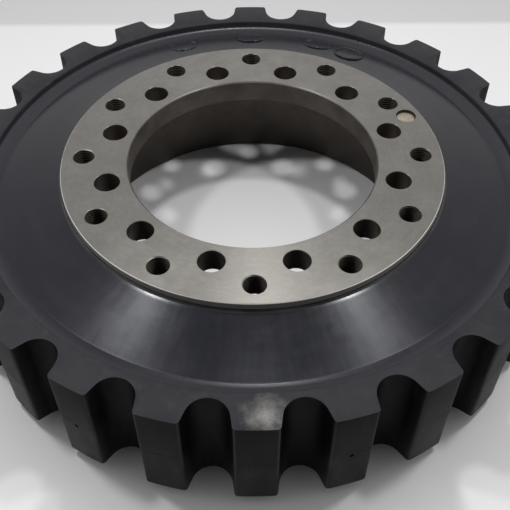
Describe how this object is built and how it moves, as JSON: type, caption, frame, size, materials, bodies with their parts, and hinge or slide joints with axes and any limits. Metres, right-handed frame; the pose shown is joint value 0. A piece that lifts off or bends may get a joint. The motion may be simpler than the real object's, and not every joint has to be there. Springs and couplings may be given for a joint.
{
  "type": "toothed rubber coupling element",
  "caption": "Rubber disc coupling element with a toothed rim, bonded to a bored steel flange hub with two circles of bolt holes",
  "frame": {"origin": "centre of the hub's lower face, on the coupling's axis, where the part stands", "axes": "+Z along the coupling's axis, towards the bolting face with the bore; -Y through a tapped hole and a tooth"},
  "size_m": [0.408, 0.408, 0.092],
  "materials": {
    "steel": "turned and ground, satin",
    "pin": "bare, lightly stained",
    "web_rubber": "smooth moulded, half gloss",
    "rim_rubber": "moulded, fine matt grain"
  },
  "bodies": {
    "hub": {"steel_hub": "steel", "locating_pin": "pin", "rubber_web": "web_rubber"},
    "rim": {"toothed_rim": "rim_rubber"}
  },
  "joints": [
    {"name": "rim_twist", "type": "hinge", "parent": "hub", "child": "rim", "pos_m": [0, 0, 0.046], "axis": [0, 0, 1], "range_deg": [-10, 10], "stiffness_Nm_per_rad": 9000}
  ]
}
